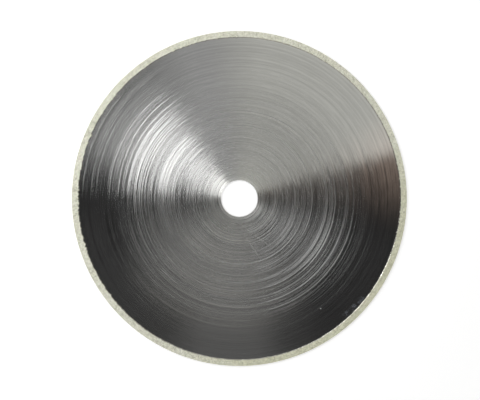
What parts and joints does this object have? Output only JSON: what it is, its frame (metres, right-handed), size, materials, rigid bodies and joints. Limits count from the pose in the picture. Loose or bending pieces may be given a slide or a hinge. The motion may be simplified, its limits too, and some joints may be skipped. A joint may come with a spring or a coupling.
{
  "type": "diamond cut-off wheel",
  "caption": "Thin ground steel disc with a plain spindle bore and a continuous diamond rim that stands proud of both faces, for cutting hard samples.",
  "frame": {"origin": "centre of the wheel: on the bore's axis, halfway through the thickness", "axes": "+Z along the wheel's axis of rotation, up as it lies flat; the wheel is round about Z, and +X and +Y lie in its plane"},
  "size_m": [0.203, 0.203, 0.0008],
  "materials": {
    "ground_steel": "ground in circles, satin",
    "diamond_grit": "matte"
  },
  "bodies": {
    "root": {"steel_disc": "ground_steel", "diamond_rim": "diamond_grit"}
  },
  "joints": []
}
